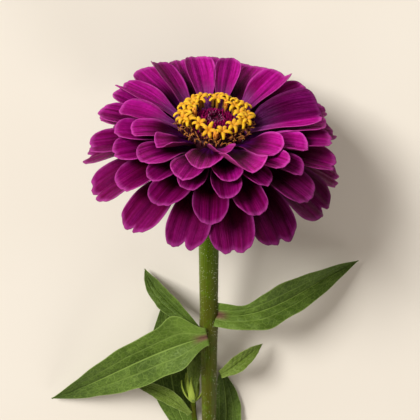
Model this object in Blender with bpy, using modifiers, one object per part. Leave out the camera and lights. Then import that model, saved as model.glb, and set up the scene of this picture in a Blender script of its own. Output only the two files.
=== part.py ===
# A cut double zinnia lying on its side: a flower head of five rows of petals round
# a disc of florets, on a leafy stem with one side shoot.
#
# Metres, +Z up, the floor is z = 0. The stem runs along Y with the head at its +Y end.
# The head has its own frame: Z along its axis and the petals' azimuths counted about it.

import math
import random

import bmesh
import bpy
from mathutils import Euler, Matrix, Vector

MM = 0.001

# Where the head lies: the centre of its petal plane, how far its axis rises above the
# floor, and how far it leans away from the stem's own direction.
HEAD_PLACE = Vector((5.0, 69.8, 45.3)) * MM
HEAD_RISE = math.radians(27.0)
HEAD_LEAN = math.radians(4.0)

# The receptacle: a barrel that carries the petals, tapering to the neck of the stem.
BARREL_R = 10.6 * MM
NECK_R = 4.4 * MM
NECK_Z = -22.0 * MM
DISC_R = 8.3 * MM
FLORET_RING_R = 11.7 * MM
GAP = 0.3 * MM                       # between pieces that touch

# The stem runs from the neck down to a cut end that rests on the floor.
STEM_END = Vector((-2.0, -161.0, 3.1)) * MM      # from the point below the head
STEM_SLOPE = math.radians(13.0)
STEM_TOP_R = 4.5 * MM
STEM_END_R = 3.0 * MM
STEM_SLIM_Y = -135.0 * MM            # below this the stem stays as slim as its end
STEM_NODES = ((-86.0 * MM, 0.3 * MM), (-143.0 * MM, 0.5 * MM))   # place along Y, swelling
STEM_POINTS = 24

PETAL_BASE_R = 11.15 * MM
PETAL_THICK = 0.7 * MM
PETAL_CELLS = (5, 4)                 # along and across
PETAL_CLAW = 0.30                    # width at the base, as a share of the full width
PETAL_WIDEST = 0.74                  # how far along the petal is widest
PETAL_TIP_ROUND = 0.17               # how much shorter a petal's edges are than its middle
LEAF_THICK = 0.8 * MM
LEAF_CELLS = (10, 4)

# Each row: height of its base on the barrel, rise at the base and at the tip in degrees,
# length, full width, and how far the edges cup upwards, in mm. Then for each petal its
# azimuth in degrees, its own length as a share and its own lift of the tip in degrees.
PETAL_ROWS = (
    dict(name="inner", joined=False, base_z=-2.5, rise=(26.0, 14.0), length=26.6, width=13.0, cup=1.2,
         azimuths=(-157, -133, -98, -70, -38, 4, 44, 81, 104, 132, 160, -178),
         reach=(0.81, 0.66, 0.96, 1.06, 0.78, 1.08, 0.98, 0.92, 0.98, 0.98, 1.0, 0.90),
         lift=(-6, -2, 4, -2, 4, -6, 0, 2, 3, 3, -3, -6)),
    dict(name="second", joined=False, base_z=-5.0, rise=(26.0, 8.0), length=29.0, width=12.6, cup=1.2,
         azimuths=(-163, -132, -105, -81, -48, -21, 3, 32, 66, 91, 114, 141, 165),
         reach=(0.90, 0.94, 0.96, 0.90, 0.88, 0.84, 1.0, 1.0, 1.0, 0.96, 1.0, 1.02, 1.0),
         lift=(-4, 0, 0, 0, 4, 0, 0, 0, -4, 0, 0, 0, 0)),
    dict(name="third", joined=True, base_z=-7.5, rise=(26.0, 0.0), length=30.8, width=13.0, cup=1.1,
         azimuths=(-150, -122, -102, -82, -59, -38, -8, 17, 46, 75, 101, 127, 151, 177),
         reach=(0.92, 0.96, 0.92, 1.0, 0.82, 0.88, 1.02, 1.0, 1.0, 1.0, 1.0, 1.0, 1.0, 1.03),
         lift=(-4, 0, 4, 0, 0, 4, 0, 0, 0, 0, 0, 0, 0, 0)),
    dict(name="fourth", joined=True, base_z=-10.0, rise=(24.0, -23.0), length=33.0, width=14.6, cup=1.0,
         azimuths=(-169, -137, -113, -89, -67, -41, -13, 11, 37, 63, 89, 115, 141, 167),
         reach=(1.02, 0.98, 0.92, 1.03, 0.97, 1.0, 0.98, 1.0, 1.0, 1.0, 1.0, 1.0, 1.0, 1.0),
         lift=(0, 0, 4, 0, 6, 0, 0, 0, 0, 0, 0, 0, 0, 0)),
    dict(name="outer", joined=False, base_z=-12.6, rise=(14.0, -52.0), length=38.0, width=16.2, cup=0.5,
         azimuths=(-156, -125, -100, -77, -53, -25, -1, 22, 46, 72, 98, 124, 150, 177),
         reach=(0.98, 1.0, 1.0, 1.0, 1.02, 0.97, 1.0, 1.0, 1.0, 1.0, 1.0, 1.0, 1.0, 1.0),
         lift=(0, 0, 0, 3, 0, 0, 0, 0, 0, 0, 0, 0, 0, 0)),
)
RISE_SPREAD = 1.5                    # degrees by which single petals differ in their row
LENGTH_SPREAD = 0.03
SIDE_REACH = 0.04                    # petals at both sides are longer than those above and below
RIGHT_REACH = 0.028                  # and those towards +X are a little longer again
SIDE_LIFT = 8.0                      # degrees by which the outer rows droop less at the sides
FRONT_SHORT = 0.07                   # share by which the lowest row is shorter where it faces up

# Leaves: a cubic centre line from base to tip, in mm from the point on the floor below
# the head, full width in mm, fold of each half and twist about the line in degrees, and
# the width at the base and the place of the widest point, as shares.
LEAVES = (
    dict(name="leaf_left", width=18.0, fold=12, twist=(18, 0), base=0.66, widest=0.22,
         line=((-2.6, -89.2, 25.0), (-28, -95, 28), (-47, -116, 10), (-69.6, -125.6, 3.2))),
    dict(name="leaf_right", width=12.4, fold=24, twist=(-18, -6), base=0.78, widest=0.36,
         line=((2.2, -81.0, 21.6), (22, -83.4, 27), (40, -69.5, 13), (59.8, -63.4, 5.0))),
    dict(name="leaf_back_left", width=9.4, fold=14, twist=(0, 0), base=0.5, widest=0.55,
         line=((-7.3, -88.6, 18.0), (-14, -80, 18), (-24.6, -77, 9), (-28.8, -67.6, 2.5))),
    dict(name="leaf_low_left", width=17.4, fold=5, twist=(0, 0), base=0.30, widest=0.58,
         line=((-6.5, -144.0, 4.4), (-19, -137, 0.9), (-18.4, -110, 0.9), (-21.4, -82.6, 1.0))),
    dict(name="leaf_low_right", width=13.0, fold=6, twist=(0, 0), base=0.34, widest=0.42,
         line=((2.4, -145.0, 5.0), (7, -139, 1.0), (5.6, -126, 1.0), (3.2, -112.6, 1.2))),
    dict(name="shoot_leaf_right", width=6.8, fold=24, twist=(-12, 0), base=0.5, widest=0.38,
         line=((2.9, -109.6, 14.4), (8.4, -106.0, 17.0), (14.4, -101.4, 12.6), (20.4, -98.6, 8.6))),
    dict(name="shoot_leaf_left", width=6.2, fold=16, twist=(10, 0), base=0.4, widest=0.38,
         line=((-10.2, -131.0, 7.2), (-17, -121, 11), (-26, -118, 8.5), (-36.0, -118.6, 2.8))),
    dict(name="shoot_leaf_inner", width=6.6, fold=8, twist=(0, 0), base=0.5, widest=0.38,
         line=((-8.6, -124.6, 8.4), (-8.4, -114, 11), (-8, -103, 12), (-7.6, -93.0, 12.6))),
)
SHOOT_LINE = ((-6.5, -141.0, 7.2), (-8.2, -137.0, 6.6), (-8.6, -131.0, 5.9), (-8.8, -126.6, 5.7))
SHOOT_R = 1.15 * MM
BUD_PLACE = Vector((-8.8, -126.2, 5.7)) * MM
BUD_LENGTH = 12.5 * MM
BUD_R = 2.7 * MM

COLOURS = {                          # base colour, roughness
    "petal": ((0.30, 0.012, 0.17), 0.55),
    "petal_outer": ((0.22, 0.008, 0.12), 0.58),
    "green": ((0.10, 0.19, 0.03), 0.6),
    "stem": ((0.12, 0.20, 0.02), 0.6),
    "disc": ((0.18, 0.01, 0.05), 0.8),
    "florets": ((0.75, 0.36, 0.02), 0.6),
}

UPRIGHT_TO_LYING = Euler((HEAD_RISE - math.pi / 2, 0.0, -HEAD_LEAN))
HEAD_MATRIX = Matrix.Translation(HEAD_PLACE) @ UPRIGHT_TO_LYING.to_matrix().to_4x4()
BELOW_HEAD = Vector((HEAD_PLACE.x, HEAD_PLACE.y, 0.0))


def clear_scene():
    for obj in list(bpy.data.objects):
        bpy.data.objects.remove(obj, do_unlink=True)


def new_collection(name):
    collection = bpy.data.collections.new(name)
    bpy.context.scene.collection.children.link(collection)
    return collection


def new_material(name):
    colour, roughness = COLOURS[name]
    material = bpy.data.materials.new(name)
    material.use_nodes = True
    shader = material.node_tree.nodes["Principled BSDF"]
    shader.inputs["Base Color"].default_value = (*colour, 1.0)
    shader.inputs["Roughness"].default_value = roughness
    shader.inputs["Metallic"].default_value = 0.0
    material.diffuse_color = (*colour, 1.0)
    return material


def new_empty(name, matrix, collection):
    empty = bpy.data.objects.new(name, None)
    empty.matrix_world = matrix
    collection.objects.link(empty)
    return empty


def new_object(name, data, collection, material, parent):
    obj = bpy.data.objects.new(name, data)
    obj.data.materials.append(material)
    obj.parent = parent
    collection.objects.link(obj)
    return obj


def smooth(x):
    x = min(max(x, 0.0), 1.0)
    return x * x * (3.0 - 2.0 * x)


def above_floor(z, half_thick):
    """A height eased onto the floor, as a soft blade bends where it meets it."""
    lift, ease = half_thick + 0.05 * MM, 1.2 * MM
    return lift + ease * math.log1p(math.exp((z - lift) / ease))


def bezier(line, t):
    """Point and direction on a cubic Bezier."""
    a, b, c, d = (Vector(p) for p in line)
    s = 1.0 - t
    point = a * s**3 + b * (3 * s * s * t) + c * (3 * s * t * t) + d * t**3
    direction = (b - a) * (s * s) + (c - b) * (2 * s * t) + (d - c) * (t * t)
    return point, direction.normalized()


def blade_mesh(name, cells, shape):
    """A grid of cells whose points are moved to shape(u, v), u from 0 to 1, v from -1 to 1."""
    grid = bmesh.new()
    bmesh.ops.create_grid(grid, x_segments=cells[0], y_segments=cells[1], size=0.5)
    for vert in grid.verts:
        vert.co = shape(vert.co.x + 0.5, vert.co.y * 2.0)
    mesh = bpy.data.meshes.new(name)
    grid.to_mesh(mesh)
    grid.free()
    mesh.shade_smooth()
    return mesh


def thicken(obj, thickness):
    shell = obj.modifiers.new("thickness", "SOLIDIFY")
    shell.thickness = thickness
    shell.offset = 0.0


# ---- petals ----

def petal_arc(row, rise, length, s):
    """Radius, height and slope at the distance s along a petal's middle, which is an arc."""
    start, turn = rise[0], rise[1] - rise[0]
    slope = start + turn * s / length
    radius = PETAL_BASE_R + (math.sin(slope) - math.sin(start)) * length / turn
    height = row["base_z"] * MM - (math.cos(slope) - math.cos(start)) * length / turn
    return radius, height, slope


def petal_half_width(t):
    """Half width at the share t of the length, as a share of the half width."""
    if t < PETAL_WIDEST:
        return PETAL_CLAW + (1.0 - PETAL_CLAW) * smooth(t / PETAL_WIDEST)
    past = (t - PETAL_WIDEST) / (1.0 - PETAL_WIDEST)
    return 1.0 - 0.22 * past * past


def petal_shape(row, index):
    """The function that places the points of one petal in its own frame, X outwards."""
    draw = random.Random(f"{row['name']} {index}")
    azimuth = math.radians(row["azimuths"][index])
    sideways = math.cos(azimuth)
    stretch = 1.0 + LENGTH_SPREAD * draw.uniform(-1.0, 1.0)
    shift = RISE_SPREAD * draw.uniform(-1.0, 1.0)
    if row["name"] != "inner":
        stretch += SIDE_REACH * sideways ** 2 + RIGHT_REACH * sideways
    if row["name"] == "outer":
        stretch -= FRONT_SHORT * max(0.0, -math.sin(azimuth))
    if row["rise"][1] < 0.0:
        shift += SIDE_LIFT * sideways ** 2
    shift += row["lift"][index]
    length = row["length"] * MM * stretch * row["reach"][index]
    rise = (math.radians(row["rise"][0]), math.radians(row["rise"][1] + shift))
    width = petal_width(row, index, rise, length)
    to_world = HEAD_MATRIX @ Matrix.Rotation(azimuth, 4, "Z")
    to_petal = to_world.inverted()

    def shape(u, v):
        s = u * length * (1.0 - PETAL_TIP_ROUND * abs(v) ** 2.4)
        t = s / length
        radius, height, slope = petal_arc(row, rise, length, s)
        lift = row["cup"] * MM * v * v * smooth(t / 0.55)
        side = v * 0.5 * width * petal_half_width(t)
        point = Vector((radius - lift * math.sin(slope), side, height + lift * math.cos(slope)))
        world = to_world @ point
        world.z = above_floor(world.z, PETAL_THICK / 2)
        return to_petal @ world

    return shape


def petal_width(row, index, rise, length):
    """The row's width, or less where the next petal of the row stands close."""
    azimuths = row["azimuths"]
    here = azimuths[index]
    steps = [abs((here - other + 180) % 360 - 180) for i, other in enumerate(azimuths) if i != index]
    widest_r = petal_arc(row, rise, length, PETAL_WIDEST * length)[0]
    room = 2.0 * widest_r * math.sin(math.radians(min(steps)) / 2.0)
    return min(row["width"] * MM, 0.95 * room - GAP)


def add_petal(row, index, head, material, collection):
    name = f"petal_{row['name']}_{index + 1:02d}"
    mesh = blade_mesh(name, PETAL_CELLS, petal_shape(row, index))
    petal = new_object(name, mesh, collection, material, head)
    petal.rotation_euler.z = math.radians(row["azimuths"][index])
    thicken(petal, PETAL_THICK)
    return petal


def add_whorl(row, head, material, collection, helpers):
    """A row of petals joined by a ring round the barrel, where their claws meet."""
    pieces = bpy.data.collections.new(f"petals_of_{row['name']}_whorl")
    helpers.children.link(pieces)
    for index in range(len(row["azimuths"])):
        petal = add_petal(row, index, head, material, pieces)
        petal.hide_render = True
        petal.display_type = "WIRE"
    bpy.ops.mesh.primitive_torus_add(major_segments=28, minor_segments=6,
                                     major_radius=PETAL_BASE_R + 0.85 * MM, minor_radius=0.75 * MM)
    ring = bpy.context.object
    for user in list(ring.users_collection):
        user.objects.unlink(ring)
    ring.name = ring.data.name = f"petal_whorl_{row['name']}"
    ring.data.materials.append(material)
    collection.objects.link(ring)
    ring.parent = head
    ring.location = (0.0, 0.0, row["base_z"] * MM + 0.35 * MM)
    union = ring.modifiers.new("petals", "BOOLEAN")
    union.operation = "UNION"
    union.operand_type = "COLLECTION"
    union.collection = pieces
    union.solver = "EXACT"


# ---- receptacle, disc and florets: profiles turned about the head's axis ----

def turned(name, profile, steps, closed, material, collection, parent):
    """A profile of (radius, height) points in mm, from the top down its outer side."""
    mesh = bpy.data.meshes.new(name)
    points = [(r * MM, 0.0, z * MM) for r, z in profile]
    edges = [(i, i + 1) for i in range(len(points) - 1)]
    if closed:
        edges.append((len(points) - 1, 0))
    mesh.from_pydata(points, edges, [])
    obj = new_object(name, mesh, collection, material, parent)
    screw = obj.modifiers.new("turn", "SCREW")
    screw.steps = screw.render_steps = steps
    screw.use_merge_vertices = True
    screw.merge_threshold = 0.00001
    screw.use_smooth_shade = True
    return obj


def add_receptacle(head, material, collection):
    barrel, neck, bottom = BARREL_R / MM, NECK_R / MM, NECK_Z / MM
    profile = [(0, -0.6), (8.8, -0.6), (barrel - 0.3, -1.1), (barrel, -1.9), (barrel, -13.6),
               (barrel - 0.6, -15.6), (8.2, -18.6), (5.6, -20.8), (neck, bottom), (0, bottom)]
    turned("receptacle", profile, 24, False, material, collection, head)


def add_disc(head, material, collection):
    rim = DISC_R / MM
    profile = [(0, 3.2), (2.2, 3.9), (5.0, 4.2), (7.2, 3.2), (rim, 1.2), (rim, -0.3), (0, -0.3)]
    turned("disc_cone", profile, 24, False, material, collection, head)


def add_floret_ring(head, material, collection):
    middle = FLORET_RING_R / MM
    profile = [(middle - 2.0, 4.6), (middle, 5.2), (middle + 1.9, 4.7), (middle + 2.5, 3.4),
               (middle + 1.6, 1.4), (middle - 0.5, -0.2), (middle - 2.8, -0.2), (middle - 3.0, 2.0)]
    turned("floret_ring", profile, 24, True, material, collection, head)


# ---- stem, leaves and side shoot ----

def tube(name, points, radii, material, collection, parent):
    """A closed tube through points in metres, with its own radius at each point."""
    curve = bpy.data.curves.new(name, "CURVE")
    curve.dimensions = "3D"
    curve.bevel_depth = 1.0 * MM
    curve.bevel_resolution = 4
    curve.use_fill_caps = True
    spline = curve.splines.new("POLY")
    spline.points.add(len(points) - 1)
    for spot, point, radius in zip(spline.points, points, radii):
        spot.co = (*point, 1.0)
        spot.radius = radius / MM
    return new_object(name, curve, collection, material, parent)


def stem_line():
    """The stem's Bezier: it leaves the neck along the head's axis and ends on its slope."""
    axis = HEAD_MATRIX.to_3x3() @ Vector((0.0, 0.0, 1.0))
    neck = HEAD_MATRIX @ Vector((0.0, 0.0, NECK_Z - GAP)) - BELOW_HEAD
    along = Vector((0.0, math.cos(STEM_SLOPE), math.sin(STEM_SLOPE)))
    return neck, neck - axis * 16.0 * MM, STEM_END + along * 112.0 * MM, STEM_END


def stem_radius(y):
    radius = STEM_TOP_R + (STEM_END_R - STEM_TOP_R) * min(1.0, y / STEM_SLIM_Y)
    for place, swelling in STEM_NODES:
        radius += swelling * math.exp(-(((y - place) / (4.0 * MM)) ** 2))
    return radius


def add_stem(below_head, material, collection):
    line = stem_line()
    points = [bezier(line, i / (STEM_POINTS - 1))[0] for i in range(STEM_POINTS)]
    tube("stem", points, [stem_radius(point.y) for point in points], material, collection, below_head)


def add_shoot(below_head, material, collection):
    line = [Vector(p) * MM for p in SHOOT_LINE]
    points = [bezier(line, i / 6)[0] for i in range(7)]
    tube("side_shoot", points, [SHOOT_R] * 7, material, collection, below_head)


def add_bud(below_head, material, collection):
    radius, length = BUD_R / MM, BUD_LENGTH / MM
    profile = [(0, length), (0.5, length - 0.4), (radius * 0.6, length * 0.8), (radius, length * 0.5),
               (radius * 0.9, length * 0.22), (1.1, 0.0), (0, 0.0)]
    bud = turned("side_bud", profile, 12, False, material, collection, below_head)
    bud.location = BUD_PLACE
    bud.rotation_euler = (math.radians(-88.0), 0.0, 0.0)


def leaf_half_width(t, base, widest):
    """Half width of a leaf at the share t of its length, as a share of the half width."""
    if t < widest:
        return base + (1.0 - base) * smooth(t / widest)
    return max(0.05, math.cos(math.pi / 2 * ((t - widest) / (1.0 - widest)) ** 1.25))


def leaf_shape(leaf):
    line = [Vector(p) * MM for p in leaf["line"]]
    fold = math.tan(math.radians(leaf["fold"]))

    def shape(u, v):
        point, along = bezier(line, u)
        twist = math.radians(leaf["twist"][0] + (leaf["twist"][1] - leaf["twist"][0]) * u)
        side = Matrix.Rotation(twist, 3, along) @ Vector((0.0, 0.0, 1.0)).cross(along).normalized()
        upper = along.cross(side)
        reach = v * 0.5 * leaf["width"] * MM * leaf_half_width(u, leaf["base"], leaf["widest"])
        spot = point + side * reach + upper * (abs(reach) * fold)
        spot.z = above_floor(spot.z, LEAF_THICK / 2)
        return spot

    return shape


def add_leaf(leaf, below_head, material, collection):
    mesh = blade_mesh(leaf["name"], LEAF_CELLS, leaf_shape(leaf))
    obj = new_object(leaf["name"], mesh, collection, material, below_head)
    thicken(obj, LEAF_THICK)


def build():
    clear_scene()
    flower = new_collection("zinnia")
    helpers = new_collection("helpers")
    helpers.hide_render = True
    materials = {name: new_material(name) for name in COLOURS}
    head = new_empty("head_axis", HEAD_MATRIX, flower)
    below_head = new_empty("below_head", Matrix.Translation(BELOW_HEAD), flower)

    add_receptacle(head, materials["green"], flower)
    add_disc(head, materials["disc"], flower)
    add_floret_ring(head, materials["florets"], flower)
    for row in PETAL_ROWS:
        material = materials["petal_outer" if row["name"] in ("fourth", "outer") else "petal"]
        if row["joined"]:
            add_whorl(row, head, material, flower, helpers)
            continue
        for index in range(len(row["azimuths"])):
            add_petal(row, index, head, material, flower)

    add_stem(below_head, materials["stem"], flower)
    for leaf in LEAVES:
        add_leaf(leaf, below_head, materials["green"], flower)
    add_shoot(below_head, materials["stem"], flower)
    add_bud(below_head, materials["green"], flower)


build()
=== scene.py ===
import math
import random

import bpy
import numpy as np
from mathutils import Euler, Matrix, Vector


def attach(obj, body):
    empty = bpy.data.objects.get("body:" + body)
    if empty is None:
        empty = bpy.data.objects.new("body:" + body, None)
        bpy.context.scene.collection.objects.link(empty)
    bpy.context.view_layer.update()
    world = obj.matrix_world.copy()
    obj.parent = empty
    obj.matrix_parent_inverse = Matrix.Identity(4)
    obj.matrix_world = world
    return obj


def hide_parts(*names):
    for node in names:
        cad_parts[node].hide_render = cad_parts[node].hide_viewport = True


# A double zinnia with a leafy cut stem, lying on a pale surface and seen from above.
# Lengths are in metres, and mm turns millimetres into them.

mm = 0.001
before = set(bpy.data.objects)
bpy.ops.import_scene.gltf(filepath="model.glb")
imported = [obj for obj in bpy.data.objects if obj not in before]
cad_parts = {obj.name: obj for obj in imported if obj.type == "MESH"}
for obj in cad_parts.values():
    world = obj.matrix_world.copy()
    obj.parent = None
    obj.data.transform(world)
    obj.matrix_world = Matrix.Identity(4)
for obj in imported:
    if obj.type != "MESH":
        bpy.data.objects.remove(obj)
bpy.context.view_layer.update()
print("frame loaded")


# The head's own frame: Z along its axis, azimuths counted round it from +X.
head = dict(
    rise=math.radians(27.0),         # the axis above the floor
    lean=math.radians(4.0),          # away from the stem's direction
    ringTop=5.2 * mm,                # top of the CAD ring of florets above the head's centre
)


def nodePoints(name):
    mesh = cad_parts[name].data
    points = np.empty(len(mesh.vertices) * 3)
    mesh.vertices.foreach_get("co", points)
    return points.reshape(-1, 3)


def headPlace(turn):
    # the ring of florets is turned about the head's axis, so its middle lies on that axis
    inHead = nodePoints("floret_ring") @ np.array(turn)
    low, high = inHead.min(axis=0), inHead.max(axis=0)
    middle = Vector(((low[0] + high[0]) / 2, (low[1] + high[1]) / 2, high[2] - head["ringTop"]))
    return turn @ middle


headTurn = Euler((head["rise"] - math.pi / 2, 0.0, -head["lean"])).to_matrix()
headCentre = headPlace(headTurn)
headMatrix = Matrix.Translation(headCentre) @ headTurn.to_4x4()
belowHead = np.array((headCentre.x, headCentre.y, 0.0))


# small tools

def smooth(x):
    x = np.clip(x, 0.0, 1.0)
    return x * x * (3.0 - 2.0 * x)


def bump(x, middle, width):
    return np.exp(-(((x - middle) / width) ** 2))


def aboveFloor(z, halfThick):
    # eases a height onto the floor, as a soft blade bends where it meets it
    lift, soft = halfThick + 0.05 * mm, 1.2 * mm
    return lift + soft * np.logaddexp(0.0, (z - lift) / soft)


def moved(points, matrix):
    m = np.array(matrix)
    return points @ m[:3, :3].T + m[:3, 3]


def bezier(line, t):
    # points and directions on a cubic Bezier, for an array of shares t
    a, b, c, d = (np.array(p, float) * mm for p in line)
    t = t[..., None]
    s = 1.0 - t
    point = a * s**3 + b * 3 * s * s * t + c * 3 * s * t * t + d * t**3
    way = (b - a) * s * s + (c - b) * 2 * s * t + (d - c) * t * t
    return point, way / np.linalg.norm(way, axis=-1, keepdims=True)


def walked(slope, step):
    # how far out and up a line gets that takes equal steps at the given slopes
    out, up = np.cos(slope[:-1]) * step, np.sin(slope[:-1]) * step
    return np.concatenate([[0.0], np.cumsum(out)]), np.concatenate([[0.0], np.cumsum(up)])


def unit(x):
    return x / np.maximum(np.linalg.norm(x, axis=-1, keepdims=True), 1e-12)


def joinParts(parts):
    # several (points, faces, marks) as one
    points, faces, marks, count = [], [], [], 0
    for somePoints, someFaces, someMarks in parts:
        points.append(somePoints)
        faces.extend([tuple(i + count for i in face) for face in someFaces])
        marks.append(someMarks)
        count += len(somePoints)
    return np.concatenate(points), faces, np.concatenate(marks)


def addPiece(name, part, material, toneAndShading, slot, *nodes):
    # one visible piece from (points, faces, marks); marks go to the shader as "blade"
    points, faces, marks = part
    mesh = bpy.data.meshes.new(name)
    mesh.from_pydata(points.tolist(), [], faces)
    mesh.update()
    mesh.attributes.new("blade", "FLOAT_VECTOR", "POINT").data.foreach_set("vector", marks.ravel())
    mesh.attributes.new("toneAndShading", "FLOAT", "POINT").data.foreach_set("value", np.full(len(points), toneAndShading))
    mesh.materials.append(material)
    mesh.shade_smooth()
    piece = bpy.data.objects.new(name, mesh)
    bpy.context.scene.collection.objects.link(piece)
    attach(piece, "root")
    if nodes:
        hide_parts(*nodes)


gridCache = {}


def shellFaces(along, across):
    # faces of a closed sheet: a grid above, the same grid below and a rim
    if (along, across) in gridCache:
        return gridCache[along, across]
    row, half = across + 1, (along + 1) * (across + 1)
    faces = []
    for i in range(along):
        for j in range(across):
            a, b, c, d = i * row + j, (i + 1) * row + j, (i + 1) * row + j + 1, i * row + j + 1
            faces += [(a, b, c, d), (d + half, c + half, b + half, a + half)]
    edge = [i * row for i in range(along)] + [along * row + j for j in range(across)]
    edge += [(along - i) * row + across for i in range(along)] + [across - j for j in range(across)]
    for a, b in zip(edge, edge[1:] + edge[:1]):
        faces.append((b, a, a + half, b + half))
    gridCache[along, across] = faces
    return faces


def blade(surface, cells, thick, rim=0.5):
    # a closed sheet round the middle surface(t, v), t from 0 to 1 along and v from -1 to 1 across
    across = np.sin(np.linspace(-1, 1, cells[1] + 1) * math.pi / 2)
    t, v = np.meshgrid(np.linspace(0, 1, cells[0] + 1), across, indexing="ij")
    spots = surface(t, v)
    normal = unit(np.cross(np.gradient(spots, axis=0), np.gradient(spots, axis=1)))
    half = 0.5 * thick * (1.0 - rim * np.maximum(np.abs(v) ** 5, t**14))[..., None]
    above, beneath = spots + normal * half, spots - normal * half
    points = np.concatenate([above.reshape(-1, 3), beneath.reshape(-1, 3)])
    upper = np.stack([t.ravel(), v.ravel(), np.ones(t.size)], axis=1)
    lower = upper * (1.0, 1.0, -1.0)
    return points, shellFaces(*cells), np.concatenate([upper, lower])


def tubeFaces(count, sides):
    # count rings of points in order, then the middle points of the first and the last end
    faces = []
    for i in range(count - 1):
        for j in range(sides):
            k = (j + 1) % sides
            faces.append((i * sides + j, i * sides + k, (i + 1) * sides + k, (i + 1) * sides + j))
    first, last, end = count * sides, count * sides + 1, (count - 1) * sides
    for j in range(sides):
        k = (j + 1) % sides
        faces.append((first, k, j))
        faces.append((last, end + j, end + k))
    return faces


def turnedPart(profile, steps, marks):
    # a profile of (radius, height) arrays turned about Z, closed at both ends on the axis
    radius, height = (np.array(p, float) for p in profile)
    angle = np.linspace(0.0, 2.0 * math.pi, steps, endpoint=False)
    inner = slice(1, -1)
    rings = np.stack([np.outer(radius[inner], np.cos(angle)), np.outer(radius[inner], np.sin(angle)),
                      np.outer(height[inner], np.ones(steps))], axis=-1).reshape(-1, 3)
    points = np.concatenate([rings, [[0, 0, height[0]], [0, 0, height[-1]]]])
    count = len(radius) - 2
    faces = [(face[0], *face[:0:-1]) for face in tubeFaces(count, steps)]      # facing outwards
    share = np.repeat(np.linspace(0, 1, count), steps)
    around = np.tile(angle / (2.0 * math.pi), count)
    coords = np.stack([share, around, np.full(share.size, marks)], axis=1)
    return points, faces, np.concatenate([coords, [[0, 0, marks], [1, 0, marks]]])


def tubePart(points, radii, sides, ridge=None):
    # a closed tube along points, radii per ring, ridge(share, angle) shapes its section
    points, radii = np.asarray(points, float), np.asarray(radii, float)
    way = unit(np.gradient(points, axis=0))
    side = unit(np.cross(way, np.array((0.0, 0.0, 1.0)) + 1e-6))
    up = np.cross(side, way)
    angle = np.linspace(0.0, 2.0 * math.pi, sides, endpoint=False)
    share = np.linspace(0.0, 1.0, len(points))
    shape = radii[:, None] * (ridge(share[:, None], angle[None, :]) if ridge else np.ones((1, sides)))
    ring = (side[:, None] * np.cos(angle)[None, :, None] + up[:, None] * np.sin(angle)[None, :, None])
    body = (points[:, None] + ring * shape[..., None]).reshape(-1, 3)
    marks = np.stack([np.repeat(share, sides), np.tile(angle / (2 * math.pi), len(points)),
                      np.zeros(len(body))], axis=1)
    allPoints = np.concatenate([body, points[:1], points[-1:]])
    allMarks = np.concatenate([marks, [[0, 0, 1], [1, 0, 1]]])
    return allPoints, tubeFaces(len(points), sides), allMarks


# shader tools

def addNode(tree, kind, values=None, **settings):
    node = tree.nodes.new("ShaderNode" + kind)
    for key, value in settings.items():
        setattr(node, key, value)
    for key, value in (values or {}).items():
        if isinstance(value, bpy.types.NodeSocket):
            tree.links.new(value, node.inputs[key])
        else:
            node.inputs[key].default_value = value
    return node


def calc(tree, operation, *values):
    return addNode(tree, "Math", dict(enumerate(values)), operation=operation).outputs[0]


def times(tree, first, second):
    return calc(tree, "MULTIPLY", first, second)


def larger(tree, first, second):
    return calc(tree, "MAXIMUM", first, second)


def ease(tree, value, low, high):
    # 0 at low, 1 at high, smooth between; low may be the greater one
    node = addNode(tree, "MapRange", {"Value": value, "From Min": low, "From Max": high},
                   interpolation_type="SMOOTHSTEP")
    return node.outputs["Result"]


def mixed(tree, share, first, second):
    return addNode(tree, "Mix", {0: share, 6: first, 7: second}, data_type="RGBA").outputs[2]


def layered(tree, colour, *layers):
    # lays colours over a first one, each layer as (mask, amount, colour)
    for mask, amount, coat in layers:
        colour = mixed(tree, times(tree, mask, amount), colour, coat)
    return colour


def rgb(red, green, blue):
    # a colour given as the screen shows it, made linear
    parts = [c / 255.0 for c in (red, green, blue)]
    return tuple(c / 12.92 if c <= 0.04045 else ((c + 0.055) / 1.055) ** 2.4 for c in parts) + (1.0,)


def newGroup(name, inputs, outputs):
    # a node group of float sockets: its inputs with their defaults, and its outputs' names
    group = bpy.data.node_groups.new(name, "ShaderNodeTree")
    for label, default in inputs.items():
        socket = group.interface.new_socket(name=label, in_out="INPUT", socket_type="NodeSocketFloat")
        socket.default_value = default
    for label in outputs:
        group.interface.new_socket(name=label, in_out="OUTPUT", socket_type="NodeSocketFloat")
    given = group.nodes.new("NodeGroupInput").outputs
    result = group.nodes.new("NodeGroupOutput").inputs
    return group, given, result


def makeBladeGroup():
    # splits the "blade" marks of a sheet, and reads its tone, which on petals carries painted light and
    # shade
    group, _, result = newGroup("bladeMarks", {}, ("Along", "Across", "Off Middle", "Underside", "Tone And Shading"))
    marks = addNode(group, "Attribute", attribute_name="blade").outputs["Vector"]
    along, across, upper = addNode(group, "SeparateXYZ", {0: marks}).outputs
    found = {
        "Along": along,
        "Across": across,
        "Off Middle": calc(group, "ABSOLUTE", across),
        "Underside": ease(group, upper, 0.3, -0.3),
        "Tone And Shading": addNode(group, "Attribute", attribute_name="toneAndShading").outputs["Fac"],
    }
    for label, value in found.items():
        group.links.new(value, result[label])
    return group


def makeStreakGroup():
    # long streaks that run along a sheet
    defaults = {"Along": 0.0, "Across": 0.0, "Seed": 0.0, "Count": 10.0, "Length": 1.0, "Low": 0.35,
                "High": 0.65}
    group, given, result = newGroup("streaks", defaults, ("Value",))
    spot = addNode(group, "CombineXYZ", {
        0: times(group, given["Along"], given["Length"]),
        1: times(group, given["Across"], given["Count"]),
        2: times(group, given["Seed"], 37.0),            # each sheet has its own part of the noise
    })
    noise = addNode(group, "TexNoise", {"Vector": spot.outputs[0], "Scale": 1.0, "Detail": 3.0,
                                        "Roughness": 0.55})
    group.links.new(ease(group, noise.outputs["Fac"], given["Low"], given["High"]), result["Value"])
    return group


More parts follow.
